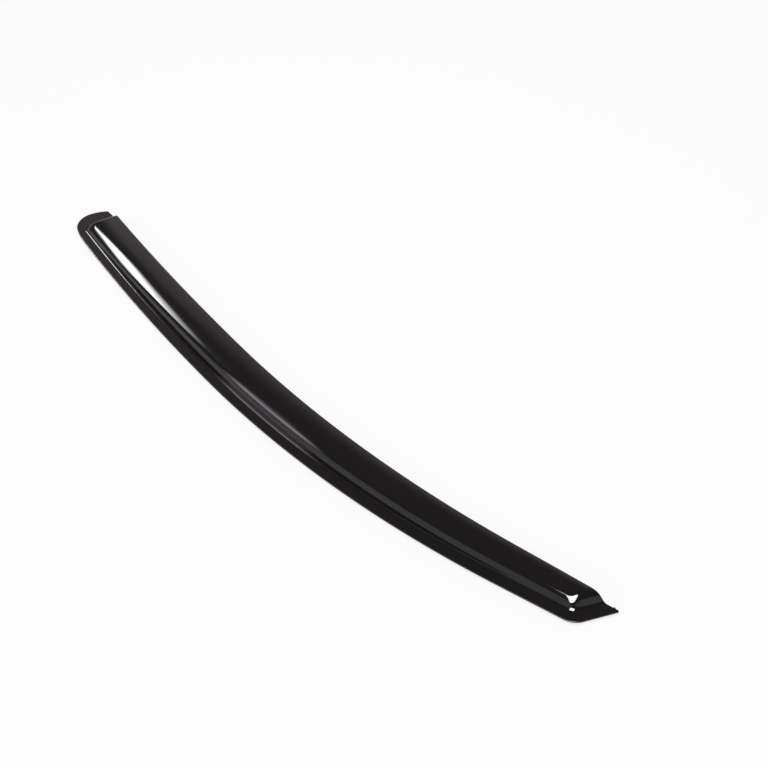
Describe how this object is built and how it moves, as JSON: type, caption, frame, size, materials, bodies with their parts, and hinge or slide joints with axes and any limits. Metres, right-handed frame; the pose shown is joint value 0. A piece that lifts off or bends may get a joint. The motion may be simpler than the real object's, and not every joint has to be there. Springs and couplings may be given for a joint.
{
  "type": "window rain deflector",
  "caption": "Curved smoked acrylic hood with a flat flange on three sides and a foam tape strip, bonded over a side window.",
  "frame": {"origin": "on the underside of the release liner, which is the bonding plane: the middle of the tape's width, halfway along the long edge", "axes": "+X along the deflector towards its front tip, +Y from the long bonded edge to the open edge, +Z away from the window"},
  "size_m": [0.9445, 0.1233, 0.0265],
  "materials": {
    "smoked_acrylic": "polished, dark smoke tint",
    "acrylic_foam": "matte closed-cell foam",
    "liner_film": "satin film"
  },
  "bodies": {
    "root": {"visor_shell": "smoked_acrylic", "foam_tape": "acrylic_foam", "release_liner": "liner_film"}
  },
  "joints": []
}
